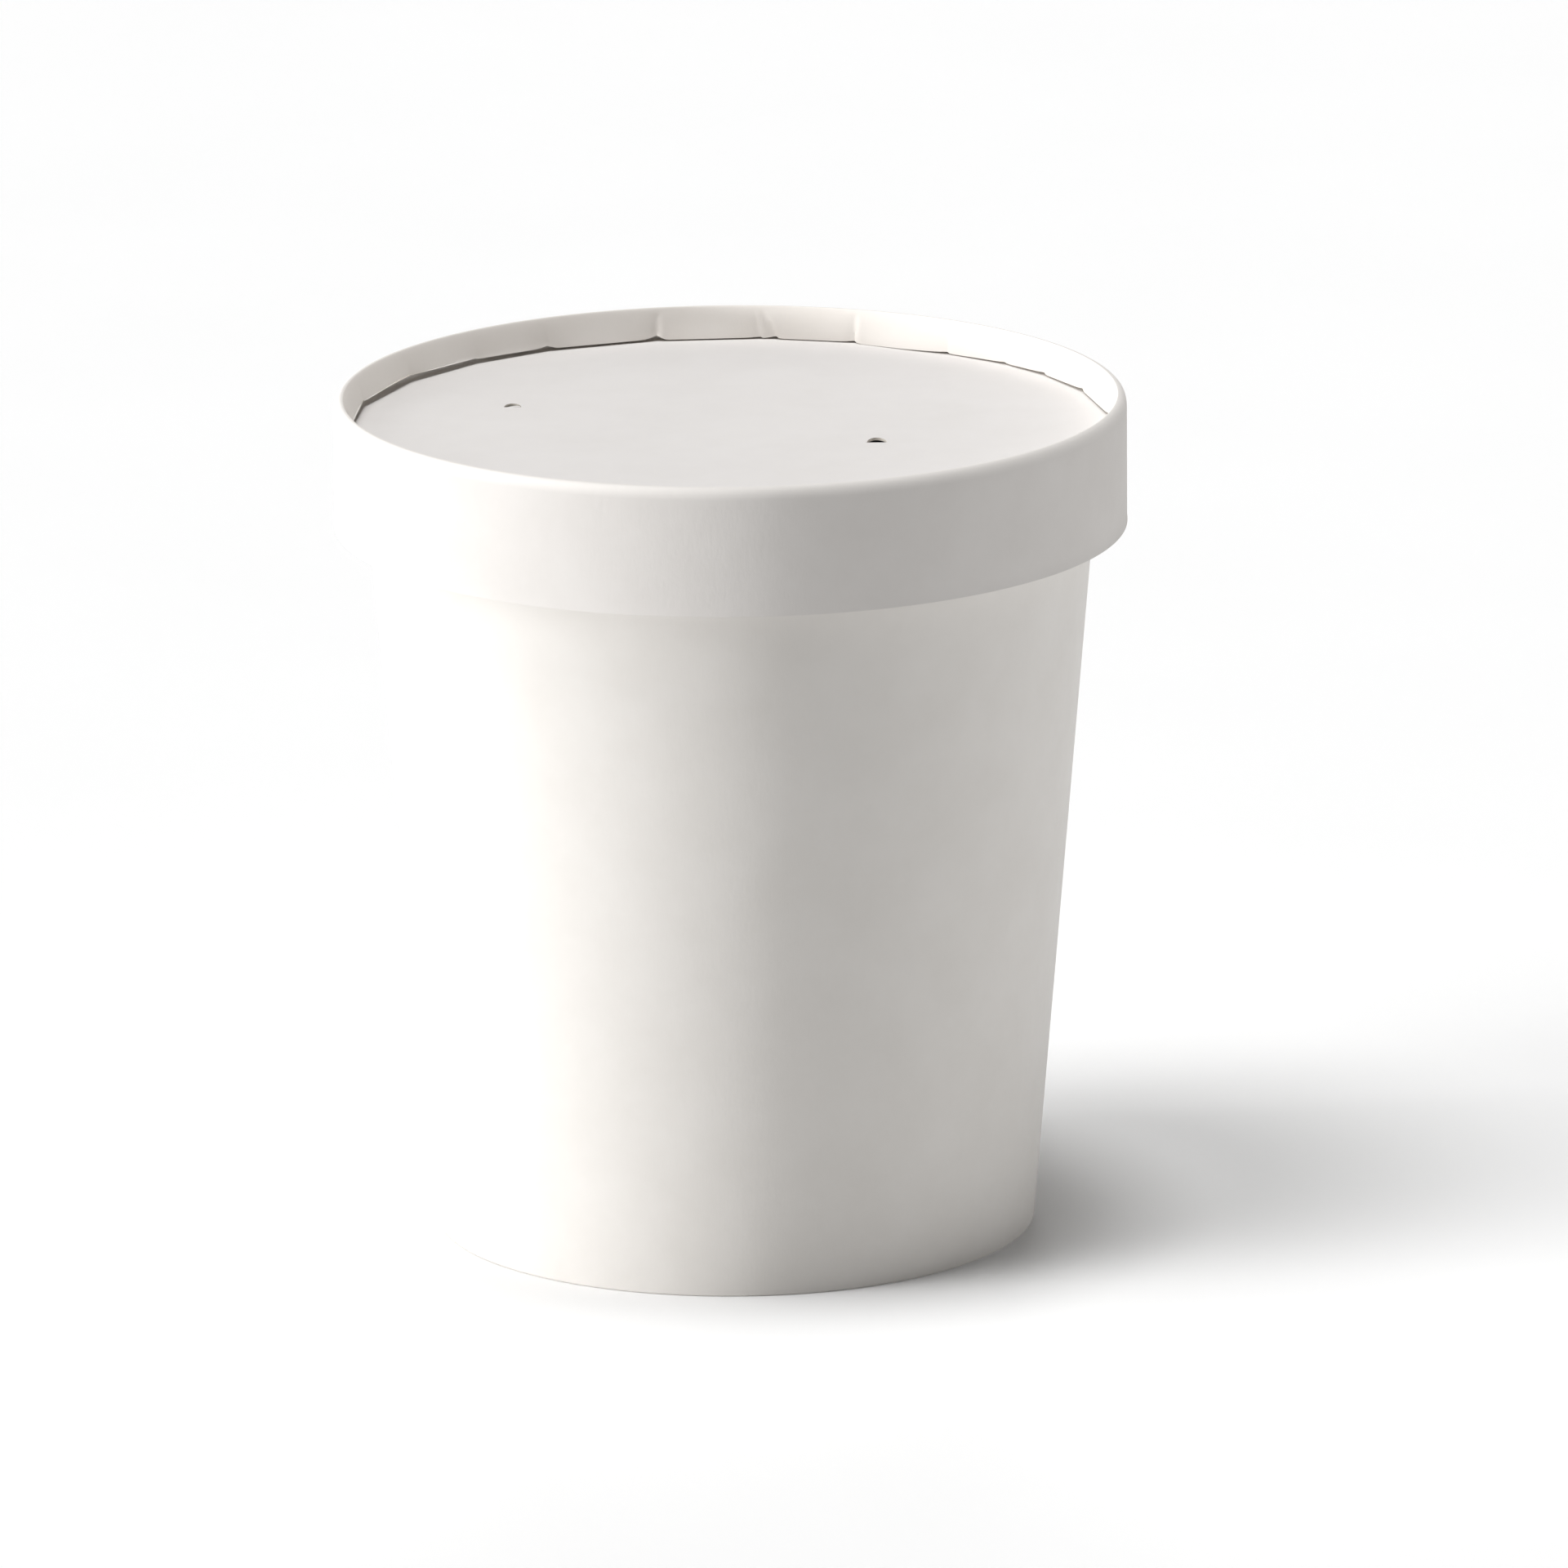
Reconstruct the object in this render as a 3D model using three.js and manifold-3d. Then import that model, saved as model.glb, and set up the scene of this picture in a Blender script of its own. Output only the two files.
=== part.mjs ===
// Takeaway soup container: a tapered paper cup, shut with a vented lid of two pieces of paperboard.
// Millimetres, +Z up. The origin is the centre of the base, on the plane that the cup stands on.
// Turns are counted from the front, -Y, anticlockwise as seen from above.

import * as THREE from 'three';
import { mergeVertices } from 'three/addons/utils/BufferGeometryUtils.js';
import Module from 'manifold-3d';

// Cup: outer wall
const BASE_RADIUS = 37.9;
const WALL_TAPER = 0.0861; // radius gained for each millimetre of height
const CUP_HEIGHT = 102.65; // up to the pressed top of the rolled rim, where the lid sits
const CUP_BOARD = 0.45;
const CUP_SIDES = 96;

// Cup: rolled rim
const BEAD_RADIUS = 1.35;
const BEAD_FLAT_DEG = 11; // half the turn of the roll that is pressed flat at its top
const BEAD_OUTER_STEPS = 6;
const BEAD_INNER_STEPS = 3;
const HEADSPACE = 3; // how far the solid fill stops below the rim

// Cup: base, with the wall folded in and up round the rim of the bottom panel
const RECESS_DEPTH = 7.5;
const HEM_THICKNESS = 1.5;
const HEM_HEIGHT = 6.4;
const HEM_ROUND = 0.4;

// Lid: outside sizes
const LID_RADIUS = 50;
const LID_TOP = 107.2;
const SKIRT_HEIGHT = 16.3;
const LID_BOARD = 0.35;
const LID_SIDES = 96;

// Lid band: the skirt's top rolls over a crest and folds down inside as a pleated flange
const CREST_RADIUS = 48.8;
const OUTER_ROLL = 2; // height of the roll outside the crest
const INNER_ROLL = 1.8; // height of the roll inside the crest
const OUTER_ROLL_STEPS = 4;
const INNER_ROLL_STEPS = 3;
const FLANGE_RADIUS = 48.3; // inner face of the flange at a pleat
const FLANGE_GAP = 0.4; // shadow gap between the flange's lower edge and the disc
const SLOT_CLEARANCE = 0.1; // free space on each side of the disc's turned-up edge in the fold

// Lid band: pleats
const BACK_PLEATS_DEG = [123.1, 132.4, 143.9, 160.2, 173.1, 175.9, 191.0, 208.8, 222.4, 237.7];
const FRONT_FACETS = 16;
const FACET_UNEVENNESS = 0.22; // share by which the near facets' widths swing
const FACET_SWING_STEP = 2.4; // radians of that swing from one facet to the next
const FACET_SWING_START = 0.7;
const FACET_COLUMNS = [0, 0.07, 0.28, 0.5, 0.72, 0.93]; // places along a facet, from pleat to pleat
const TUCK_LIFT = 0.18; // how far a facet's last edge stands off the one after it
const FULL_TUCK_DEG = 12; // width of facet from which the tuck has its full lift

// Lid disc
const DISC_TOP = 103.0;
const DISC_EDGE_TOP = 105.9; // the turned-up edge ends against the inside of the fold
const BEND_RADIUS = 0.9;
const BEND_STEPS = 2;
const VENT_WIDTH = 2.3;
const VENT_LENGTH = 2.6;
const VENT_STEPS = 8;
const VENT_PLACES = [[-27.5, 11.9], [18.4, -7.7]];
const PUNCH_DEPTH = 1.4; // more than the board, so that the punch passes right through

// Finishes: the cup's paper is coated, the lid's is plain
const COATED_WHITE = 0xf4f2ee;
const COATED_ROUGHNESS = 0.6;
const PLAIN_WHITE = 0xf1eeeb;
const PLAIN_ROUGHNESS = 0.8;

// Sizes that follow from the ones above
const SKIRT_BOTTOM = LID_TOP - SKIRT_HEIGHT;
const SKIRT_INSIDE = LID_RADIUS - LID_BOARD;
const DISC_BOTTOM = DISC_TOP - LID_BOARD;
const DISC_EDGE_OUTSIDE = SKIRT_INSIDE - SLOT_CLEARANCE;
const DISC_EDGE_INSIDE = DISC_EDGE_OUTSIDE - LID_BOARD;
const FLANGE_BACK = DISC_EDGE_INSIDE - SLOT_CLEARANCE;
const FLANGE_BOTTOM = DISC_TOP + FLANGE_GAP;

const { degToRad, lerp } = THREE.MathUtils;

const wallRadius = (z) => BASE_RADIUS + WALL_TAPER * z;

// Points along an elliptical arc, from one angle to another, without the first one
function arcPoints(centreX, centreZ, radiusX, radiusZ, fromDeg, toDeg, steps) {
  return Array.from({ length: steps }, (_, i) => {
    const angle = degToRad(lerp(fromDeg, toDeg, (i + 1) / steps));
    return new THREE.Vector2(centreX + radiusX * Math.cos(angle), centreZ + radiusZ * Math.sin(angle));
  });
}

// One closed skin: seams merged, and the flat triangles at the axis dropped
function closedSkin(geometry) {
  geometry.deleteAttribute('normal');
  geometry.deleteAttribute('uv');
  const merged = mergeVertices(geometry);
  const corners = Array.from(merged.index.array);
  const kept = [];
  for (let i = 0; i < corners.length; i += 3) {
    const [a, b, c] = corners.slice(i, i + 3);
    if (a !== b && b !== c && c !== a) kept.push(a, b, c);
  }
  merged.setIndex(kept);
  return merged;
}

// A profile of radius and height, turned about the Z axis
function turned(profile, sides) {
  const geometry = new THREE.LatheGeometry(profile, sides);
  geometry.rotateX(Math.PI / 2);
  return closedSkin(geometry);
}

function paperMesh(name, geometry, colour, roughness) {
  const shaded = geometry.index ? geometry.toNonIndexed() : geometry;
  shaded.computeVertexNormals();
  const material = new THREE.MeshStandardMaterial({ color: colour, roughness, metalness: 0 });
  const mesh = new THREE.Mesh(shaded, material);
  mesh.name = name;
  return mesh;
}

// The cup's profile runs from the axis under the bottom panel, round the hem, up the wall,
// over the rolled rim and back to the axis on top of the fill
function cupProfile() {
  const hemInside = (z) => wallRadius(z) - HEM_THICKNESS;
  const panelRadius = hemInside(HEM_HEIGHT) + CUP_BOARD;
  const insideRadius = wallRadius(CUP_HEIGHT) - CUP_BOARD;
  const beadCentre = CUP_HEIGHT - BEAD_RADIUS * Math.cos(degToRad(BEAD_FLAT_DEG));
  const beadFoot = beadCentre - BEAD_RADIUS;
  const bead = (fromDeg, toDeg, steps) =>
    arcPoints(insideRadius + BEAD_RADIUS, beadCentre, BEAD_RADIUS, BEAD_RADIUS, fromDeg, toDeg, steps);
  return [
    new THREE.Vector2(0, RECESS_DEPTH),
    new THREE.Vector2(panelRadius, RECESS_DEPTH),
    new THREE.Vector2(panelRadius, HEM_HEIGHT),
    new THREE.Vector2(hemInside(HEM_HEIGHT), HEM_HEIGHT),
    new THREE.Vector2(hemInside(HEM_ROUND), HEM_ROUND),
    new THREE.Vector2(hemInside(0) + HEM_ROUND, 0),
    new THREE.Vector2(wallRadius(0) - HEM_ROUND, 0),
    new THREE.Vector2(wallRadius(HEM_ROUND), HEM_ROUND),
    new THREE.Vector2(wallRadius(beadFoot), beadFoot),
    new THREE.Vector2(insideRadius + BEAD_RADIUS, beadFoot),
    ...bead(-90, 90 - BEAD_FLAT_DEG, BEAD_OUTER_STEPS),
    ...bead(90 - BEAD_FLAT_DEG, 90 + BEAD_FLAT_DEG, 1),
    ...bead(90 + BEAD_FLAT_DEG, 180, BEAD_INNER_STEPS),
    new THREE.Vector2(insideRadius, CUP_HEIGHT - HEADSPACE),
    new THREE.Vector2(0, CUP_HEIGHT - HEADSPACE),
  ];
}

const facetWidth = (i) => 1 + FACET_UNEVENNESS * Math.sin(FACET_SWING_STEP * i + FACET_SWING_START);

// Turns of all the pleats, in rising order: the far side as read, the near side spread unevenly
function pleatTurns() {
  const far = BACK_PLEATS_DEG;
  const last = far[far.length - 1];
  const span = 360 - last + far[0];
  const widths = Array.from({ length: FRONT_FACETS }, (_, i) => facetWidth(i));
  const total = widths.reduce((sum, width) => sum + width, 0);
  const near = [];
  let turn = last;
  for (const width of widths.slice(0, -1)) {
    turn += (span * width) / total;
    near.push(turn);
  }
  return [...far, ...near];
}

// One entry for each column of the band: its turn, the radius of a flat facet there and the tuck's lift
function bandColumns() {
  const turns = pleatTurns();
  const columns = [];
  turns.forEach((start, i) => {
    const end = i + 1 < turns.length ? turns[i + 1] : turns[0] + 360;
    const half = degToRad(end - start) / 2;
    for (const place of FACET_COLUMNS) {
      const turn = degToRad(lerp(start, end, place));
      const fromMiddle = half * (2 * place - 1);
      const inset = FLANGE_RADIUS * (1 - Math.cos(half) / Math.cos(fromMiddle));
      const lift = TUCK_LIFT * place * Math.min(1, (end - start) / FULL_TUCK_DEG);
      columns.push({ turn, inset: inset + lift });
    }
  });
  columns.push({ turn: columns[0].turn + 2 * Math.PI, inset: columns[0].inset });
  return columns;
}

// The band is turned from one closed profile, then its flange is drawn in to flat facets between pleats
function bandGeometry() {
  const outerRoll = arcPoints(CREST_RADIUS, LID_TOP - OUTER_ROLL, LID_RADIUS - CREST_RADIUS, OUTER_ROLL,
    0, 90, OUTER_ROLL_STEPS);
  const innerRoll = arcPoints(CREST_RADIUS, LID_TOP - INNER_ROLL, CREST_RADIUS - FLANGE_RADIUS, INNER_ROLL,
    90, 180, INNER_ROLL_STEPS);
  const skirt = [
    new THREE.Vector2(LID_RADIUS, SKIRT_BOTTOM),
    new THREE.Vector2(LID_RADIUS, LID_TOP - OUTER_ROLL),
  ];
  const flange = [
    ...innerRoll,
    new THREE.Vector2(FLANGE_RADIUS, (LID_TOP + FLANGE_BOTTOM) / 2),
    new THREE.Vector2(FLANGE_RADIUS, FLANGE_BOTTOM),
  ];
  const inside = [
    new THREE.Vector2(FLANGE_BACK, FLANGE_BOTTOM),
    new THREE.Vector2(FLANGE_BACK, DISC_EDGE_TOP),
    new THREE.Vector2(SKIRT_INSIDE, DISC_EDGE_TOP),
    new THREE.Vector2(SKIRT_INSIDE, SKIRT_BOTTOM),
  ];
  const profile = [...skirt, ...outerRoll, ...flange, ...inside, skirt[0]];
  const firstPleated = skirt.length + outerRoll.length;
  const lastPleated = firstPleated + flange.length - 1;

  const columns = bandColumns();
  const geometry = new THREE.LatheGeometry(profile, columns.length - 1);
  const position = geometry.attributes.position;
  columns.forEach(({ turn, inset }, column) => {
    profile.forEach((point, row) => {
      const pleated = row >= firstPleated && row <= lastPleated;
      const depth = pleated ? (row - firstPleated + 1) / flange.length : 0;
      const radius = point.x - inset * depth;
      const index = column * profile.length + row;
      position.setXYZ(index, radius * Math.sin(turn), point.y, radius * Math.cos(turn));
    });
  });
  geometry.rotateX(Math.PI / 2);
  return closedSkin(geometry);
}

// The disc lies on the cup's rim, and its edge turns up into the band's fold
function discProfile() {
  const inner = BEND_RADIUS - LID_BOARD;
  const bendCentre = DISC_EDGE_OUTSIDE - BEND_RADIUS;
  const bendHeight = DISC_BOTTOM + BEND_RADIUS;
  return [
    new THREE.Vector2(0, DISC_BOTTOM),
    new THREE.Vector2(bendCentre, DISC_BOTTOM),
    ...arcPoints(bendCentre, bendHeight, BEND_RADIUS, BEND_RADIUS, -90, 0, BEND_STEPS),
    new THREE.Vector2(DISC_EDGE_OUTSIDE, DISC_EDGE_TOP),
    new THREE.Vector2(DISC_EDGE_INSIDE, DISC_EDGE_TOP),
    new THREE.Vector2(DISC_EDGE_INSIDE, bendHeight),
    ...arcPoints(bendCentre, bendHeight, inner, inner, 0, -90, BEND_STEPS),
    new THREE.Vector2(0, DISC_TOP),
  ];
}

// A half-moon punch, its straight side towards the front
function ventPunch([x, y]) {
  const outline = new THREE.Shape();
  outline.moveTo(VENT_WIDTH / 2, -VENT_LENGTH / 2);
  outline.absellipse(0, -VENT_LENGTH / 2, VENT_WIDTH / 2, VENT_LENGTH, 0, Math.PI, false, 0);
  outline.closePath();
  const options = { depth: PUNCH_DEPTH, curveSegments: VENT_STEPS, bevelEnabled: false };
  const geometry = new THREE.ExtrudeGeometry(outline, options);
  geometry.translate(x, y, (DISC_BOTTOM + DISC_TOP - PUNCH_DEPTH) / 2);
  return closedSkin(geometry);
}

const wasm = await Module();
wasm.setup();

function toSolid(geometry) {
  const vertProperties = new Float32Array(geometry.attributes.position.array);
  const triVerts = new Uint32Array(geometry.index.array);
  return new wasm.Manifold(new wasm.Mesh({ numProp: 3, vertProperties, triVerts }));
}

function fromSolid(solid) {
  const { vertProperties, triVerts } = solid.getMesh();
  const geometry = new THREE.BufferGeometry();
  geometry.setAttribute('position', new THREE.BufferAttribute(vertProperties, 3));
  geometry.setIndex(new THREE.BufferAttribute(triVerts, 1));
  return geometry;
}

function discGeometry() {
  const punches = VENT_PLACES.map((place) => toSolid(ventPunch(place)));
  const plain = toSolid(turned(discProfile(), LID_SIDES));
  return fromSolid(punches.reduce((disc, punch) => disc.subtract(punch), plain));
}

const container = new THREE.Group();
container.add(paperMesh('cup', turned(cupProfile(), CUP_SIDES), COATED_WHITE, COATED_ROUGHNESS));
container.add(paperMesh('lid_disc', discGeometry(), PLAIN_WHITE, PLAIN_ROUGHNESS));
container.add(paperMesh('lid_band', bandGeometry(), PLAIN_WHITE, PLAIN_ROUGHNESS));

export default container;
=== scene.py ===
# %% [markdown]
# # A takeaway soup container of white paper
# The container is a tapered paper cup, shut with a lid of two pieces: a flat disc with steam vents,
# and a band whose top edge rolls inwards and is pressed into pleats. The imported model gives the
# sizes. This lesson makes the paper skins that stand for its solids, their finishes, the light and
# the camera. Lengths are in metres, so a millimetre has a name of its own.

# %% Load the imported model
import bisect
import math

import bmesh
import bpy
from mathutils import Matrix, Vector


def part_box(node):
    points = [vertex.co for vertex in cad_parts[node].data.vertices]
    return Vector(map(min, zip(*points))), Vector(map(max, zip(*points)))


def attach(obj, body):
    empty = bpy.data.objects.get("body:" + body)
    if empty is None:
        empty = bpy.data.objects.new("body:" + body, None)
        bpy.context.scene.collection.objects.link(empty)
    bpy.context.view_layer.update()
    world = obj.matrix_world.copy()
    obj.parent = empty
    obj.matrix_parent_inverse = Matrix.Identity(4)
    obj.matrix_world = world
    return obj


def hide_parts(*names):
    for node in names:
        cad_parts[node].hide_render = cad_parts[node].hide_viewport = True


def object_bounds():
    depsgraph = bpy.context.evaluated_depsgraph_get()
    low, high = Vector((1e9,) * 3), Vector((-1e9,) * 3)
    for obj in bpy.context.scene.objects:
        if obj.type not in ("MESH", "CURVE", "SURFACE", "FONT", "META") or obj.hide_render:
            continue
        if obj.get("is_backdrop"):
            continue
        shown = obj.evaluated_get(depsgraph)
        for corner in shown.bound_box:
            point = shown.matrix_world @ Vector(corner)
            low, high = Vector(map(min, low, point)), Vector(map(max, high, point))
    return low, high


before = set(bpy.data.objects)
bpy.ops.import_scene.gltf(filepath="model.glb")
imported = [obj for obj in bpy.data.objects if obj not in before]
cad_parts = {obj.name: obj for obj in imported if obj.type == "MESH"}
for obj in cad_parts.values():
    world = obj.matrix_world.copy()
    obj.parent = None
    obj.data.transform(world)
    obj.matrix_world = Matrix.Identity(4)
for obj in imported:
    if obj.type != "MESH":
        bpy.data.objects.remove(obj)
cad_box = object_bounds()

MM = 0.001
print("solids in the frame:", sorted(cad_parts))

# %% [markdown]
# ## Sizes
# Every size that the solids' boxes hold is read from them, so the paper skins can't drift away from
# the solids. The taper and the board's thickness aren't in a box, so they are named here once more.

# %% Sizes of the cup and the lid
cup_low, cup_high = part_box("cup")
disc_low, disc_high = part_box("lid_disc")
band_low, band_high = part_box("lid_band")

RIM_TOP = cup_high.z
RIM_RADIUS = cup_high.x
BASE_RADIUS = 37.9 * MM
WALL_TAPER = 0.0861
CUP_BOARD = 0.45 * MM

LID_BOARD = 0.35 * MM
LID_RADIUS = min(band_high.x, band_high.y)
LID_TOP = band_high.z
SKIRT_BOTTOM = band_low.z
DISC_BOTTOM = disc_low.z
DISC_TOP = DISC_BOTTOM + LID_BOARD
DISC_EDGE_TOP = disc_high.z
DISC_EDGE_RADIUS = disc_high.x


def wall_radius(height):
    return BASE_RADIUS + WALL_TAPER * height


print(f"lid {2 * LID_RADIUS / MM:.1f} mm across, top at {LID_TOP / MM:.1f} mm")
print(f"cup wall {2 * wall_radius(0) / MM:.1f} mm across at the base,"
      f" {2 * wall_radius(SKIRT_BOTTOM) / MM:.1f} mm at the skirt")

# %% [markdown]
# ## Helpers for round pieces
# Paper cups and lids are formed round a mandrel, so nearly every surface starts as a profile that
# is turned about the upright axis. The profile is a chain of a few vertices, and one full spin
# makes the skin. The turn of a point is counted from the front, -Y, anticlockwise from above.

# %% Chains, arcs and the full spin
FRONT = -math.pi / 2
SAME_PLACE = 0.001 * MM
SAME_HEIGHT = 0.01 * MM


def arc(centre, radii, start_deg, end_deg, steps):
    """Points along an elliptical arc in the plane of radius and height, both ends included."""
    angles = [math.radians(start_deg + (end_deg - start_deg) * i / steps) for i in range(steps + 1)]
    return [(centre[0] + radii[0] * math.cos(a), centre[1] + radii[1] * math.sin(a)) for a in angles]


def chain(bm, points, closed=False):
    """Vertices at points of radius and height, on the front half-plane, joined in a row."""
    verts = [bm.verts.new((0, -radius, height)) for radius, height in points]
    pairs = list(zip(verts, verts[1:]))
    if closed:
        pairs.append((verts[-1], verts[0]))
    for pair in pairs:
        bm.edges.new(pair)
    return verts


def full_spin(bm, steps):
    """Turn all that the mesh holds once about the Z axis, and close the seam and the poles."""
    bmesh.ops.spin(bm, geom=bm.verts[:] + bm.edges[:], cent=(0, 0, 0), axis=(0, 0, 1),
                   dvec=(0, 0, 0), angle=2 * math.pi, steps=steps, use_merge=True, use_duplicate=False)
    bmesh.ops.remove_doubles(bm, verts=bm.verts[:], dist=SAME_PLACE)
    bmesh.ops.recalc_face_normals(bm, faces=bm.faces[:])


def turn_of(point):
    """Degrees from the front, 0 to 360."""
    return math.degrees(math.atan2(point.y, point.x) - FRONT) % 360


def push_out(vert, distance):
    """Move a vertex straight away from the axis."""
    across = Vector((vert.co.x, vert.co.y, 0))
    vert.co += across.normalized() * distance


# %% [markdown]
# ## From a mesh to a piece
# A finished piece is smooth across the paper and sharp at its cut edges. Edges sharper than a set
# angle are marked, and every piece rides on the one body, "root", and hides the solid it stands for.

# %% Make a piece
SHARP = math.radians(38)


def make_piece(bm, name, node, finishes):
    for face in bm.faces:
        face.smooth = True
    for edge in bm.edges:
        edge.smooth = not (len(edge.link_faces) == 2 and edge.calc_face_angle(0) > SHARP)
    mesh = bpy.data.meshes.new(name)
    bm.to_mesh(mesh)
    bm.free()
    piece = bpy.data.objects.new(name, mesh)
    bpy.context.scene.collection.objects.link(piece)
    for finish in finishes:
        mesh.materials.append(finish)
    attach(piece, "root")
    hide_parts(node)
    print(f"{name}: {len(mesh.polygons)} faces")
    return piece


# %% [markdown]
# ## Paper
# All three pieces are white board. Seen close, board has three kinds of unevenness: cloudy patches
# where the fibres lie thicker, a fine tooth that catches low light, and fibres that run mostly one
# way. Each is a noise pattern on Object coordinates at its real scale. These helpers place a node,
# make such a noise and turn it into a range, a colour or a bump.

# %% Node helpers
def add_node(tree, kind, inputs=None, **settings):
    node = tree.nodes.new(kind)
    for name, value in settings.items():
        setattr(node, name, value)
    for name, value in (inputs or {}).items():
        node.inputs[name].default_value = value
    return node


def noise_pattern(tree, coordinates, size, stretch=(1, 1, 1), detail=2.0, roughness=0.5):
    """A noise with features of one size in metres, drawn out along the axes by stretch."""
    mapping = add_node(tree, "ShaderNodeMapping")
    mapping.inputs["Scale"].default_value = [1 / (size * s) for s in stretch]
    pattern = add_node(tree, "ShaderNodeTexNoise", {"Scale": 1.0, "Detail": detail, "Roughness": roughness})
    tree.links.new(coordinates, mapping.inputs["Vector"])
    tree.links.new(mapping.outputs["Vector"], pattern.inputs["Vector"])
    return pattern.outputs["Fac"]


def spread(tree, value, low, high):
    """Map the middle part of a noise onto a range."""
    mapped = add_node(tree, "ShaderNodeMapRange",
                      {"From Min": 0.3, "From Max": 0.7, "To Min": low, "To Max": high})
    tree.links.new(value, mapped.inputs["Value"])
    return mapped.outputs["Result"]


def blend_colours(tree, share, first, second):
    """Mix two colours by a share. Each is three numbers, or the output of another node."""
    mix = add_node(tree, "ShaderNodeMix", data_type="RGBA")
    colours = [socket for socket in mix.inputs if socket.type == "RGBA"]
    for socket, colour in zip(colours, (first, second)):
        if isinstance(colour, tuple):
            socket.default_value = (*colour, 1)
        else:
            tree.links.new(colour, socket)
    tree.links.new(share, mix.inputs[0])
    return next(socket for socket in mix.outputs if socket.type == "RGBA")


def bump(tree, height, depth, below=None):
    node = add_node(tree, "ShaderNodeBump", {"Strength": 1.0, "Distance": depth})
    tree.links.new(height, node.inputs["Height"])
    if below is not None:
        tree.links.new(below, node.inputs["Normal"])
    return node.outputs["Normal"]


# %% [markdown]
# The clouds tint the board, the tooth and the fibres go to a bump, and the roughness follows the tooth. The
# boards differ: the cup's is coated against the soup and has a low sheen, and the lid's is uncoated and
# dull. The band's board is painted a little darker than the cup's, painted shade that deepens the skirt's
# shaded side. The fold inside the band is painted lighter and creamier than its outer side, painted light
# that stands for the light soaking through the board and bouncing off the disc. Along the crest the outer
# side is painted lighter too, a painted highlight on the top of the roll.
# Where the board is cut, its layers show as a warmer, rougher edge.

# %% The paper finishes
CLOUD_SIZE = 9 * MM
TOOTH_SIZE = 0.9 * MM
FIBRE_SIZE = 0.5 * MM
FIBRE_STRETCH = 5
LAYER_SIZE = 0.5 * MM
LAYER_STRETCH = 0.16
LAYER_DEPTH = 0.02 * MM


def paper(name, thick, thin, rough, tooth, fibre, sheen, fold=None):
    """White board: thick and thin are the colours of its clouds, rough its two roughnesses,
    tooth and fibre the depths of its two reliefs, sheen the strength of its reflection.
    A fold, if there is one, is a painted highlight: it paints the board lighter, in its own colour, from a
    first height up to a second."""
    material = bpy.data.materials.new(name)
    material.use_nodes = True
    tree = material.node_tree
    shader = tree.nodes["Principled BSDF"]
    place = add_node(tree, "ShaderNodeTexCoord").outputs["Object"]
    clouds = noise_pattern(tree, place, CLOUD_SIZE, detail=3.0, roughness=0.6)
    specks = noise_pattern(tree, place, TOOTH_SIZE, stretch=(1, 1, 1.6), detail=3.0, roughness=0.7)
    grain = noise_pattern(tree, place, FIBRE_SIZE, stretch=(1, 1, FIBRE_STRETCH), detail=2.0, roughness=0.6)
    relief = bump(tree, grain, fibre, bump(tree, specks, tooth))
    tint = blend_colours(tree, spread(tree, clouds, 0.0, 1.0), thick, thin)
    # A fold is a painted highlight: the board's colour is blended towards a lighter one from a first height
    # up to a second.
    if fold:
        low, high, crest_highlight_colour = fold
        split = add_node(tree, "ShaderNodeSeparateXYZ")
        tree.links.new(place, split.inputs["Vector"])
        crest_highlight_share = add_node(tree, "ShaderNodeMapRange", {"From Min": low, "From Max": high})
        tree.links.new(split.outputs["Z"], crest_highlight_share.inputs["Value"])
        tint = blend_colours(tree, crest_highlight_share.outputs["Result"], tint, crest_highlight_colour)
    tree.links.new(tint, shader.inputs["Base Color"])
    tree.links.new(spread(tree, specks, *rough), shader.inputs["Roughness"])
    tree.links.new(relief, shader.inputs["Normal"])
    shader.inputs["Specular IOR Level"].default_value = sheen
    return material


def raw_edge(name):
    """The cut edge of the board: warmer, rougher, with the layers of its fibres lying flat."""
    material = bpy.data.materials.new(name)
    material.use_nodes = True
    tree = material.node_tree
    shader = tree.nodes["Principled BSDF"]
    place = add_node(tree, "ShaderNodeTexCoord").outputs["Object"]
    layers = noise_pattern(tree, place, LAYER_SIZE, stretch=(1, 1, LAYER_STRETCH), detail=2.0)
    tint = blend_colours(tree, spread(tree, layers, 0.0, 1.0), (0.80, 0.765, 0.70), (0.70, 0.655, 0.58))
    tree.links.new(tint, shader.inputs["Base Color"])
    tree.links.new(bump(tree, layers, LAYER_DEPTH), shader.inputs["Normal"])
    shader.inputs["Roughness"].default_value = 0.95
    return material


cup_paper = paper("cup_paper", (0.758, 0.731, 0.697), (0.729, 0.701, 0.665), (0.46, 0.58),
                  0.016 * MM, 0.010 * MM, 0.60)
# The band's board is painted a little darker than the cup's, painted shade for the skirt's shaded side, and
# its crest gets a painted highlight.
band_paper = paper("band_paper", (0.733, 0.707, 0.682), (0.704, 0.677, 0.651), (0.78, 0.90),
                   0.020 * MM, 0.012 * MM, 0.08,
                   fold=(LID_TOP - 1.5 * MM, LID_TOP - 0.1 * MM, (0.83, 0.80, 0.769)))
# The fold's board is painted lighter and creamier than the outer board: painted light that stands for light
# soaking through the board and bouncing off the disc.
fold_paper_painted_light = paper("fold_paper_painted_light", (0.935, 0.895, 0.850), (0.915, 0.872, 0.822), (0.80, 0.92),
                   0.020 * MM, 0.012 * MM, 0.10)
disc_paper = paper("disc_paper", (0.830, 0.804, 0.786), (0.809, 0.782, 0.762), (0.76, 0.88),
                   0.018 * MM, 0.010 * MM, 0.15)
cut_edge = raw_edge("cut_edge")
print("finishes:", [finish.name for finish in (cup_paper, band_paper, fold_paper_painted_light, disc_paper, cut_edge)])

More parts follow.
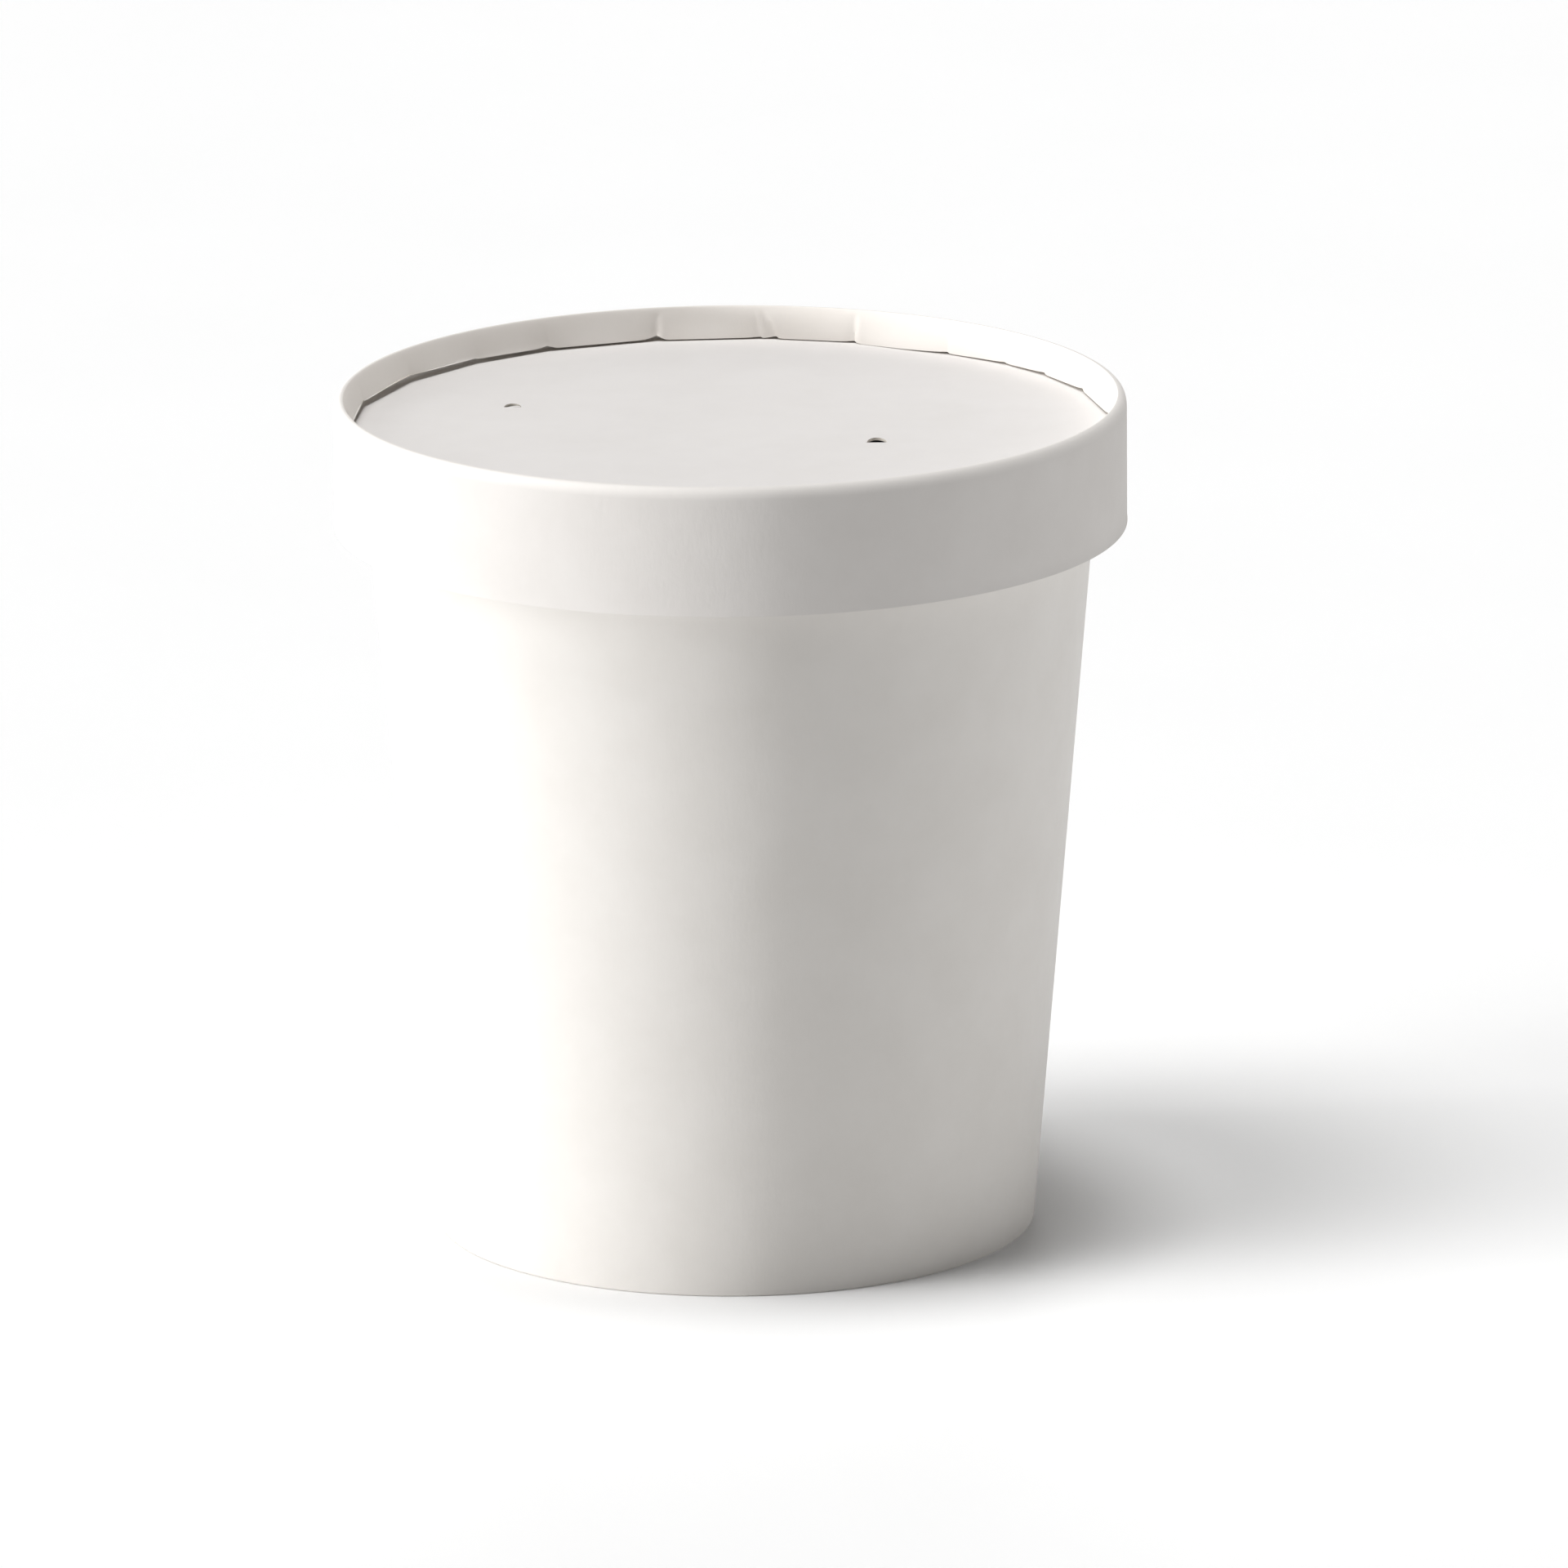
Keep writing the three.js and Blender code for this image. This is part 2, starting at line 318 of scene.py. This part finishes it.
# %% [markdown]
# ## The cup
# The cup is a paper cone, glued along a lap at its back. Its top edge is rolled outwards into a
# bead, and its lower edge folds in and up round the rim of a raised bottom panel. The shut cup
# can't be seen into, so its skin closes just below the lid. One profile, turned once, gives all of
# it, because every one of these folds runs the whole way round.

# %% The cup's profile
RIM_ROLL = 1.35 * MM
RIM_FLAT_DEG = 11
HEADSPACE = 3.0 * MM
RECESS_DEPTH = 7.5 * MM
HEM_THICKNESS = 1.5 * MM
HEM_HEIGHT = 6.4 * MM
HEM_ROUND = 0.4 * MM
PANEL_BEND = 0.6 * MM
WALL_ROWS = 24


def hem_inside(height):
    return wall_radius(height) - HEM_THICKNESS


def cup_profile():
    roll_height = RIM_TOP - RIM_ROLL * math.cos(math.radians(RIM_FLAT_DEG))
    roll_radius = RIM_RADIUS - RIM_ROLL
    inside = roll_radius - RIM_ROLL
    foot = roll_height - RIM_ROLL
    panel_radius = hem_inside(HEM_HEIGHT) + CUP_BOARD
    wall = [HEM_ROUND + (foot - HEM_ROUND) * i / WALL_ROWS for i in range(WALL_ROWS + 1)]
    roll = (roll_radius, roll_height)
    return [
        (0, RECESS_DEPTH),
        (panel_radius * 0.5, RECESS_DEPTH),
        *arc((panel_radius - PANEL_BEND, RECESS_DEPTH - PANEL_BEND), (PANEL_BEND, PANEL_BEND), 90, 0, 4),
        (panel_radius, HEM_HEIGHT),
        (hem_inside(HEM_HEIGHT), HEM_HEIGHT),
        *arc((hem_inside(HEM_ROUND) + HEM_ROUND, HEM_ROUND), (HEM_ROUND, HEM_ROUND), 180, 270, 4),
        *arc((wall_radius(HEM_ROUND) - HEM_ROUND, HEM_ROUND), (HEM_ROUND, HEM_ROUND), 270, 350, 4),
        *[(wall_radius(z), z) for z in wall],
        *arc(roll, (RIM_ROLL, RIM_ROLL), -90, 90 - RIM_FLAT_DEG, 12),
        *arc(roll, (RIM_ROLL, RIM_ROLL), 90 + RIM_FLAT_DEG, 180, 6),
        (inside, RIM_TOP - HEADSPACE),
        (0, RIM_TOP - HEADSPACE),
    ]


# %% [markdown]
# The glued lap at the back is a low step, because the board is pressed thinner where it lies
# double. The layer on top climbs gently over the hidden edge of the layer below, runs level for the
# width of the glue, and ends in its own cut edge. Two cuts through the axis, close together, give
# the step a crisp foot and a crisp top.

# %% The lap, and the cup
CUP_LAP_TURN = 203.0
LAP_STEP = 0.24 * MM
LAP_GLUE = 7.0 * MM
LAP_CLIMB = 3.5 * MM
LAP_EDGE = 0.10 * MM
LAP_OVERSHOOT = 0.01 * MM
LAP_UNDER_SKIRT = 5 * MM
WALL_DEPTH = 0.5 * MM
CUP_STEPS = 240
CUT_DISTANCE = 0.0001 * MM


def cut_along_axis(bm, turn_deg):
    """Cut a half of the mesh with an upright plane through the axis, at a turn from the front.
    Edges and vertices that two faces share are listed once."""
    angle = math.radians(turn_deg) + FRONT
    outwards = Vector((math.cos(angle), math.sin(angle), 0))
    across = Vector((-outwards.y, outwards.x, 0))
    half = [f for f in bm.faces if f.calc_center_median().dot(outwards) > 0]
    geometry = dict.fromkeys(half)
    for face in half:
        geometry.update(dict.fromkeys([*face.edges, *face.verts]))
    bmesh.ops.bisect_plane(bm, geom=list(geometry), dist=CUT_DISTANCE, plane_co=(0, 0, 0), plane_no=across)


def lap_height(along):
    """Height of a glued lap at a distance past its cut edge, along the surface."""
    if along < 0 or along > LAP_GLUE + LAP_CLIMB:
        return 0.0
    climb = min(1.0, (LAP_GLUE + LAP_CLIMB - along) / LAP_CLIMB)
    return LAP_STEP * climb * climb * (3 - 2 * climb)


def raise_lap(bm, turn_deg, radius, belongs):
    """Step the skin outwards over a glued lap that starts at a turn; belongs picks the vertices."""
    edge_deg = math.degrees(LAP_EDGE / radius)
    for turn in (turn_deg - edge_deg, turn_deg):
        cut_along_axis(bm, turn)
    for vert in bm.verts:
        if belongs(vert):
            along = math.radians((turn_of(vert.co) - turn_deg + 180) % 360 - 180) * radius
            push_out(vert, lap_height(along + LAP_OVERSHOOT))


def on_wall(vert):
    below = vert.co.z < SKIRT_BOTTOM + LAP_UNDER_SKIRT
    return below and math.hypot(vert.co.x, vert.co.y) > wall_radius(vert.co.z) - WALL_DEPTH


cup = bmesh.new()
chain(cup, cup_profile())
full_spin(cup, CUP_STEPS)
raise_lap(cup, CUP_LAP_TURN, wall_radius(RIM_TOP / 2), on_wall)
make_piece(cup, "paper_cup", "cup", [cup_paper])

# %% [markdown]
# ## The lid's disc
# The disc lies on the cup's rim, and its edge turns up into the fold of the band. That edge is a
# short profile, turned once. The flat middle can't come from the same spin, because it has two
# holes in it: the outlines of the vents are drawn as closed chains, and a triangle fill then spans
# the flat from the turned edge to them, once for the top and once for the underside.

# %% The turned-up edge
DISC_STEPS = 240
BEND_RADIUS = 0.9 * MM


def disc_edge_profile():
    """From the flat's top, up the inner face, over and down the outer face to the flat's underside."""
    bend = (DISC_EDGE_RADIUS - BEND_RADIUS, DISC_BOTTOM + BEND_RADIUS)
    inner = BEND_RADIUS - LID_BOARD
    return [
        *arc(bend, (inner, inner), -90, 0, 5),
        (DISC_EDGE_RADIUS - LID_BOARD, DISC_EDGE_TOP),
        (DISC_EDGE_RADIUS, DISC_EDGE_TOP),
        *arc(bend, (BEND_RADIUS, BEND_RADIUS), 0, -90, 5),
    ]


# %% [markdown]
# A steam vent is a half-moon punched through the board. The punch leaves the straight side uncut,
# so the tongue stays on it and is only pushed down a little and twisted, in each vent its own way.
# Seen from the front, the dark of the cup shows behind the tongue.

# %% The vents' outlines and tongues
VENT_STEPS = 14
VENTS = [
    # middle of the straight side, width, length, degrees that the tongue drops and that it twists
    (Vector((-27.5 * MM, 11.45 * MM, 0)), 2.2 * MM, 1.95 * MM, 9.0, -6.0),
    (Vector((18.4 * MM, -9.0 * MM, 0)), 2.55 * MM, 2.6 * MM, 18.0, 1.0),
]
TONGUE_GAP = 0.12 * MM
TONGUE_SHIFT = 0.05 * MM
VENT_REACH = 3 * MM
LOOKS_SIDEWAYS = 0.5


def half_moon(bm, hinge, width, length, height, inset=0.0):
    """A closed chain round a half-moon, with its straight side to the front."""
    start = bm.verts.new(hinge + Vector((width / 2 - inset, 0, height)))
    made = bmesh.ops.spin(bm, geom=[start], cent=hinge + Vector((0, 0, height)), axis=(0, 0, 1),
                          dvec=(0, 0, 0), angle=math.pi, steps=VENT_STEPS,
                          use_merge=False, use_duplicate=False)
    last = next(item for item in made["geom_last"] if isinstance(item, bmesh.types.BMVert))
    loop = [start]
    while loop[-1] is not last:
        loop.append(next(e.other_vert(loop[-1]) for e in loop[-1].link_edges
                         if e.other_vert(loop[-1]) not in loop))
    deeper = (length - inset) / (width / 2 - inset)
    bmesh.ops.scale(bm, vec=(1, deeper, 1), space=Matrix.Translation(-hinge), verts=loop)
    bm.edges.new((last, start))
    return loop


def add_tongue(bm, hinge, width, length, drop_deg, twist_deg):
    """The half-moon of board that stays in a vent, hinged on the straight side."""
    loop = half_moon(bm, hinge, width, length, DISC_TOP, TONGUE_GAP)
    top = bm.faces.new(loop)
    top.normal_update()
    made = bmesh.ops.extrude_face_region(bm, geom=[top], use_keep_orig=True)
    under = [item for item in made["geom"] if isinstance(item, bmesh.types.BMVert)]
    bmesh.ops.translate(bm, vec=(0, 0, -LID_BOARD), verts=under)
    twist = Matrix.Rotation(math.radians(twist_deg), 4, "Y")
    turn = twist @ Matrix.Rotation(math.radians(-drop_deg), 4, "X")
    bmesh.ops.rotate(bm, verts=loop + under, cent=hinge + Vector((0, 0, DISC_TOP)), matrix=turn)
    bmesh.ops.translate(bm, vec=(0, -TONGUE_SHIFT, 0), verts=loop + under)


# %% [markdown]
# The turned edge ends in two open rims, one for each side of the flat. Each rim is filled together
# with the outlines of the vents, and the vents' walls are then bridged from the upper outline to
# the lower one. Those walls are cut board, so they get the raw edge's finish.

# %% Fill the flat and join the vents through it
disc = bmesh.new()
chain(disc, disc_edge_profile())
full_spin(disc, DISC_STEPS)
rims = {}
for height in (DISC_TOP, DISC_BOTTOM):
    rims[height] = [e for e in disc.edges if e.is_boundary and abs(e.verts[0].co.z - height) < SAME_HEIGHT]
for height, rim in rims.items():
    moons = [half_moon(disc, centre, width, length, height) for centre, width, length, *_ in VENTS]
    outlines = [e for moon in moons for v in moon for e in v.link_edges]
    border = list(dict.fromkeys(rim + outlines))
    bmesh.ops.triangle_fill(disc, use_beauty=True, use_dissolve=False, edges=border)
vent_rims = [e for e in disc.edges if e.is_boundary]
for centre, *_ in VENTS:
    around = [e for e in vent_rims if (e.verts[0].co - centre).xy.length < VENT_REACH]
    bmesh.ops.bridge_loops(disc, edges=around)
bmesh.ops.recalc_face_normals(disc, faces=disc.faces[:])
for face in disc.faces:
    upright = abs(face.normal.z) < LOOKS_SIDEWAYS
    close = any((face.calc_center_median() - centre).xy.length < VENT_REACH for centre, *_ in VENTS)
    face.material_index = 1 if upright and close else 0
for vent in VENTS:
    add_tongue(disc, *vent)
print("open edges left in the disc:", sum(e.is_boundary for e in disc.edges))
make_piece(disc, "lid_panel", "lid_disc", [disc_paper, cut_edge])

# %% [markdown]
# ## The lid's band
# The band is a strip of board. Outside it is the lid's skirt. Its top rolls over a rounded crest and
# folds down inside, where the longer strip has to fit a shorter way round, so it puckers into
# pleats: flat facets, each with one edge standing a little proud of its neighbour. The fold isn't
# upright: it leans in on its way down, most of all just under the crest. The band is turned from a
# closed profile in fine steps, and then each vertex of the inner face is drawn in by a rule of its
# turn and its depth below the crest.

# %% The band's profile
CREST_RADIUS = LID_RADIUS - 1.2 * MM
OUTER_ROLL = 1.9 * MM
ROLL_FULLNESS = 0.8
ROLL_STEPS = 14
FLANGE_RADIUS = LID_RADIUS - 2.15 * MM
FLANGE_CURVE = 0.6
FLANGE_GAP = 0.4 * MM
FLANGE_BOTTOM = DISC_TOP + FLANGE_GAP
SLOT_CLEARANCE = 0.1 * MM
SLOT_INSIDE = DISC_EDGE_RADIUS - LID_BOARD - SLOT_CLEARANCE
SKIRT_INSIDE = LID_RADIUS - LID_BOARD
LIP_FLARE = 0.05 * MM
SKIRT_RADIUS = LID_RADIUS - LIP_FLARE
LIP_HEIGHT = 0.45 * MM
SKIRT_ROWS = 10
FLANGE_ROWS = 16
BAND_STEPS = 900


def band_profile():
    """From the skirt's lip up over the crest, down the fold, and back up and down inside the skirt."""
    quarter = [math.pi / 2 * i / ROLL_STEPS for i in range(ROLL_STEPS + 1)]
    outer_roll = [(CREST_RADIUS + (SKIRT_RADIUS - CREST_RADIUS) * abs(math.cos(a)) ** ROLL_FULLNESS,
                   LID_TOP - OUTER_ROLL * (1 - math.sin(a) ** ROLL_FULLNESS)) for a in quarter]
    skirt_top = LID_TOP - OUTER_ROLL
    lip_top = SKIRT_BOTTOM + LIP_HEIGHT
    skirt = [(SKIRT_RADIUS, lip_top + (skirt_top - lip_top) * i / SKIRT_ROWS) for i in range(SKIRT_ROWS)]
    depths = [((i + 1) / FLANGE_ROWS) ** 2 for i in range(FLANGE_ROWS)]
    flange = [(CREST_RADIUS + (FLANGE_RADIUS - CREST_RADIUS) * t ** FLANGE_CURVE,
               LID_TOP + (FLANGE_BOTTOM - LID_TOP) * t) for t in depths]
    return [
        (LID_RADIUS, SKIRT_BOTTOM),
        (LID_RADIUS, SKIRT_BOTTOM + LIP_HEIGHT / 3),
        *skirt,
        *outer_roll,
        *flange,
        (SLOT_INSIDE, FLANGE_BOTTOM),
        (SLOT_INSIDE, DISC_EDGE_TOP),
        (SKIRT_INSIDE, DISC_EDGE_TOP),
        (SKIRT_INSIDE, SKIRT_BOTTOM),
    ]


# %% [markdown]
# The pleats on the far side lie where the container shows them. Those on the near side are hidden,
# so they follow the same uneven spacing. A facet is a chord, so its middle lies nearer the axis
# than its ends. Going round, a facet rises to an edge that stands a little proud, drops steeply
# over it, and the next one starts in the dip behind. The crest itself stays smooth: the pleats only
# open below it, and some of them lean. A pleat's tuck says how deep it is, from 0 to 1, and its
# slant by how many degrees it leans. The widest facet on the right also bellies inwards.

# %% Pleats
FAR_PLEATS = [123.1, 132.4, 143.9, 160.2, 172.8, 175.2, 191.0, 208.8, 222.4, 237.7]
FAR_SLANTS = [0.8, -0.6, 0.5, 0.2, 2.3, 0.7, -0.3, 0.4, -0.8, 0.6]
FAR_TUCKS = [0.25, 0.25, 0.2, 1.0, 0.9, 0.5, 1.0, 0.35, 0.12, 0.12]
NEAR_FACETS = 16
FACET_UNEVENNESS = 0.22
FACET_SWING_STEP = 2.4
FACET_SWING_START = 0.7
TUCK_LIFT = 0.24 * MM
TUCK_DROP_DEG = 0.5
DIP_DEPTH = 0.16 * MM
DIP_WIDTH_DEG = 1.1
CREST_SHARE = 0.16
OPENING_POWER = 0.6
CHORD_POWER = 1.9
SAG_TURN = 149
SAG_DEPTH = 0.6 * MM
SAG_WIDTH_DEG = 9


def pleat_turns():
    span = 360 - FAR_PLEATS[-1] + FAR_PLEATS[0]
    widths = [1 + FACET_UNEVENNESS * math.sin(FACET_SWING_STEP * i + FACET_SWING_START)
              for i in range(NEAR_FACETS)]
    near, turn = [], FAR_PLEATS[-1]
    for width in widths[:-1]:
        turn += span * width / sum(widths)
        near.append(turn)
    return FAR_PLEATS + near


PLEATS = pleat_turns()
SLANTS = [FAR_SLANTS[i % len(FAR_SLANTS)] for i in range(len(PLEATS))]
TUCKS = FAR_TUCKS + [FAR_TUCKS[(i * 3) % len(FAR_TUCKS)] for i in range(len(FAR_TUCKS), len(PLEATS))]
print(f"{len(PLEATS)} pleats, {len(FAR_PLEATS)} of them on the far side")


def facet_at(turn, depth):
    """Degrees past a facet's start, its width and its number. Above the edge, the pleats lean."""
    leaning = [p + s * (1 - depth) for p, s in zip(PLEATS, SLANTS)]
    along = turn if turn >= leaning[0] else turn + 360
    number = bisect.bisect_right(leaning, along) - 1
    end = leaning[number + 1] if number + 1 < len(leaning) else leaning[0] + 360
    return along - leaning[number], end - leaning[number], number


def flange_sag(turn):
    """How far the widest facet on the right bellies inwards beyond its chord, at a turn."""
    return SAG_DEPTH * math.exp(-(((turn - SAG_TURN) / SAG_WIDTH_DEG) ** 2))


def flange_inset(turn, depth):
    """How far the inner face is drawn in at a turn and at a depth of 0, the crest, to 1, the edge."""
    along, width, number = facet_at(turn, depth)
    half = math.radians(width) / 2
    place = along / width
    chord = FLANGE_RADIUS * (1 - math.cos(half) / math.cos(half * (2 * place - 1)))
    drop = min(1.0, (width - along) / TUCK_DROP_DEG)
    lift = TUCK_LIFT * TUCKS[(number + 1) % len(TUCKS)] * drop * place ** 2
    dip = DIP_DEPTH * TUCKS[number] * math.exp(-((along / DIP_WIDTH_DEG) ** 2)) * drop
    opened = max(0.0, (depth - CREST_SHARE) / (1 - CREST_SHARE)) ** OPENING_POWER
    return (chord + flange_sag(turn)) * depth ** CHORD_POWER + (lift - dip) * opened


# %% [markdown]
# The folded edge was cut before it was pleated, so the gap under it isn't even. It is wide on the
# left and nearly shut behind and on the right. Each facet's edge tilts its own way, and the edge
# lifts a little at each pleat. The rises are turns in degrees with heights in millimetres.

# %% The flange's lower edge
EDGE_RISES = [(0, -0.20), (123, -0.10), (138, -0.20), (152, -0.30), (184, -0.20), (200, -0.08), (209, 0.0),
              (218, 0.22), (230, 0.40), (242, 0.58), (262, 0.40), (292, 0.16), (330, -0.20), (360, -0.20)]
FACET_TILT = 0.10 * MM
TILT_MEAN = 1.3
TILT_SWING_STEP = 3.7
PLEAT_NOTCH = 0.36 * MM
FAR_NOTCHES = [0.2, 0.2, 0.2, 0.4, 0.3, 0.2, 1.1, 0.7, 0.1, 0.1]
NOTCHES = [FAR_NOTCHES[i % len(FAR_NOTCHES)] for i in range(len(PLEATS))]
NOTCH_WIDTH_DEG = 1.5


def edge_rise(turn):
    """How far the flange's lower edge lies above its mean height at a turn."""
    along, width, number = facet_at(turn, 1)
    after = next(i for i, (t, _) in enumerate(EDGE_RISES) if t > turn)
    (turn_a, rise_a), (turn_b, rise_b) = EDGE_RISES[after - 1:after + 1]
    mean_rise = MM * (rise_a + (rise_b - rise_a) * (turn - turn_a) / (turn_b - turn_a))
    tilt = FACET_TILT * (0.5 - along / width) * (TILT_MEAN + math.sin(TILT_SWING_STEP * number))
    following = (number + 1) % len(PLEATS)
    past = NOTCHES[number] * math.exp(-((along / NOTCH_WIDTH_DEG) ** 2))
    ahead = NOTCHES[following] * math.exp(-(((width - along) / (NOTCH_WIDTH_DEG / 2)) ** 2))
    return mean_rise + tilt + PLEAT_NOTCH * (past + ahead)


# %% [markdown]
# The band is turned first, and then pleated vertex by vertex. Its glued lap steps the skirt alone, below
# the roll. The faces that look down are cut board, and those within the crest get the fold's board, painted
# lighter and creamier as painted light.

# %% Turn the band, then pleat it
BAND_LAP_TURN = 152.0
SKIN_DEPTH = 0.1 * MM
LOOKS_DOWN = -0.7


def on_skirt(vert):
    below = vert.co.z < LID_TOP - OUTER_ROLL / 2
    return below and math.hypot(vert.co.x, vert.co.y) > SKIRT_INSIDE + SKIN_DEPTH


band = bmesh.new()
chain(band, band_profile(), closed=True)
full_spin(band, BAND_STEPS)
drop = LID_TOP - FLANGE_BOTTOM
for vert in band.verts:
    across = math.hypot(vert.co.x, vert.co.y)
    depth = min(1.0, (LID_TOP - vert.co.z) / drop)
    on_edge = abs(vert.co.z - FLANGE_BOTTOM) < SAME_HEIGHT
    turn = turn_of(vert.co)
    if across < CREST_RADIUS - SAME_PLACE:
        push_out(vert, -flange_inset(turn, depth))
    if on_edge:
        vert.co.z += edge_rise(turn)
raise_lap(band, BAND_LAP_TURN, LID_RADIUS, on_skirt)
for face in band.faces:
    middle = face.calc_center_median()
    inside = math.hypot(middle.x, middle.y) < CREST_RADIUS
    face.material_index = 1 if face.normal.z < LOOKS_DOWN else 2 if inside else 0
make_piece(band, "lid_skirt", "lid_band", [band_paper, cut_edge, fold_paper_painted_light])

# %% [markdown]
# ## The floor
# The container stands on a plain white sweep. The floor is large enough to fill the picture at any
# angle. It is white card with faint clouds, and a little glow of its own lifts it to the sweep's
# even white, which the lamps alone would leave slightly grey.

# %% Floor
FLOOR_SIZE = 12.0
FLOOR_CLOUD_SIZE = 60 * MM
FLOOR_GLOW = 0.05


def floor_finish():
    material = bpy.data.materials.new("floor_white")
    material.use_nodes = True
    tree = material.node_tree
    shader = tree.nodes["Principled BSDF"]
    place = add_node(tree, "ShaderNodeTexCoord").outputs["Object"]
    clouds = noise_pattern(tree, place, FLOOR_CLOUD_SIZE, detail=2.0)
    tint = blend_colours(tree, spread(tree, clouds, 0.0, 1.0), (0.98, 0.98, 0.98), (0.97, 0.97, 0.97))
    tree.links.new(tint, shader.inputs["Base Color"])
    shader.inputs["Roughness"].default_value = 0.9
    shader.inputs["Specular IOR Level"].default_value = 0.1
    shader.inputs["Emission Color"].default_value = (1, 1, 1, 1)
    shader.inputs["Emission Strength"].default_value = FLOOR_GLOW
    return material


ground = bmesh.new()
bmesh.ops.create_grid(ground, x_segments=1, y_segments=1, size=FLOOR_SIZE / 2)
floor_mesh = bpy.data.meshes.new("floor")
ground.to_mesh(floor_mesh)
ground.free()
floor_mesh.materials.append(floor_finish())
floor = bpy.data.objects.new("floor", floor_mesh)
bpy.context.scene.collection.objects.link(floor)
floor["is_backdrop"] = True
print(f"floor: {FLOOR_SIZE:.0f} m square")

# %% [markdown]
# ## Light
# The light is soft and comes mostly from the left, from a strong low box beside the container. It
# burns the left of the cup out to white. Weaker boxes climb from it to overhead and lay a broad
# shadow to the right. One low on the right lights the cup's shaded side, and one far behind grazes
# the floor and the far rim. They are far away for their size, so each is a distant lamp as wide in
# angle as its box looks.

# %% Lamps and surround
SOFT_BOXES = {
    # name: degrees right of the front, degrees above level, strength, width in degrees
    "left_low": (-82, 2.5, 2.50, 7),
    "left": (-72, 20, 0.39, 14),
    "left_mid": (-66, 36, 0.40, 20),
    "left_back": (-90, 32, 0.14, 16),
    "left_high": (-66, 68, 1.17, 24),
    "overhead": (0, 90, 1.14, 14),
    "right_low": (104, 4, 0.85, 16),
    "behind": (180, 15, 0.49, 18),
}
SURROUND = 0.02

for name, (side_deg, height_deg, strength, width_deg) in SOFT_BOXES.items():
    side, height = math.radians(side_deg), math.radians(height_deg)
    away = Vector((math.sin(side) * math.cos(height), -math.cos(side) * math.cos(height), math.sin(height)))
    light = bpy.data.lights.new(name, "SUN")
    light.energy = strength
    light.angle = math.radians(width_deg)
    lamp = bpy.data.objects.new(name, light)
    lamp.rotation_euler = (-away).to_track_quat("-Z", "Y").to_euler()
    lamp.location = away
    bpy.context.scene.collection.objects.link(lamp)

world = bpy.data.worlds.new("surround")
world.use_nodes = True
world.node_tree.nodes["Background"].inputs["Color"].default_value = (1, 1, 1, 1)
world.node_tree.nodes["Background"].inputs["Strength"].default_value = SURROUND
bpy.context.scene.world = world
bpy.context.scene.view_settings.view_transform = "Standard"
print("lamps:", list(SOFT_BOXES))

# %% [markdown]
# ## Camera
# The container was taken with a long lens from 15 degrees above level, a hair off upright. The
# camera is set by that angle, its distance and the field that the picture takes in.

# %% Camera
CAMERA_ELEVATION = math.radians(14.84)
CAMERA_DISTANCE = 2.3
CAMERA_LENS = 417.1
CAMERA_ROLL = math.radians(-0.4154)
LOOK_HEIGHT = 52.0 * MM
LOOK_RIGHT = 6.46 * MM
LOOK_UP = 4.29 * MM
SENSOR_WIDTH = 36.0
FAR_CLIP = 50.0

back = Vector((0, -math.cos(CAMERA_ELEVATION), math.sin(CAMERA_ELEVATION)))
upright = Vector((0, math.sin(CAMERA_ELEVATION), math.cos(CAMERA_ELEVATION)))
middle = Vector((0, 0, LOOK_HEIGHT))
place = middle + back * CAMERA_DISTANCE
aim = middle + Vector((LOOK_RIGHT, 0, 0)) + upright * LOOK_UP
camera_data = bpy.data.cameras.new("camera")
camera_data.lens = CAMERA_LENS
camera_data.sensor_width = SENSOR_WIDTH
camera_data.clip_end = FAR_CLIP
camera = bpy.data.objects.new("camera", camera_data)
camera.rotation_mode = "QUATERNION"
camera.location = place
camera.rotation_quaternion = ((aim - place).to_track_quat("-Z", "Y").to_matrix()
                              @ Matrix.Rotation(CAMERA_ROLL, 3, "Z")).to_quaternion()
bpy.context.scene.collection.objects.link(camera)
bpy.context.scene.camera = camera
print(f"camera {CAMERA_DISTANCE} m away, with a lens of {CAMERA_LENS:.0f} mm")

# %% [markdown]
# ## Both boxes
# Both boxes, the solids' and the paper skins', are measured and printed. The paper skins must
# stay within the solids' own box.

# %% Print both boxes
visual_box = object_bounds()
for name, (low, high) in (("solids", cad_box), ("skins", visual_box)):
    print(name, [round(x / MM, 3) for x in (*low, *high)], "mm")
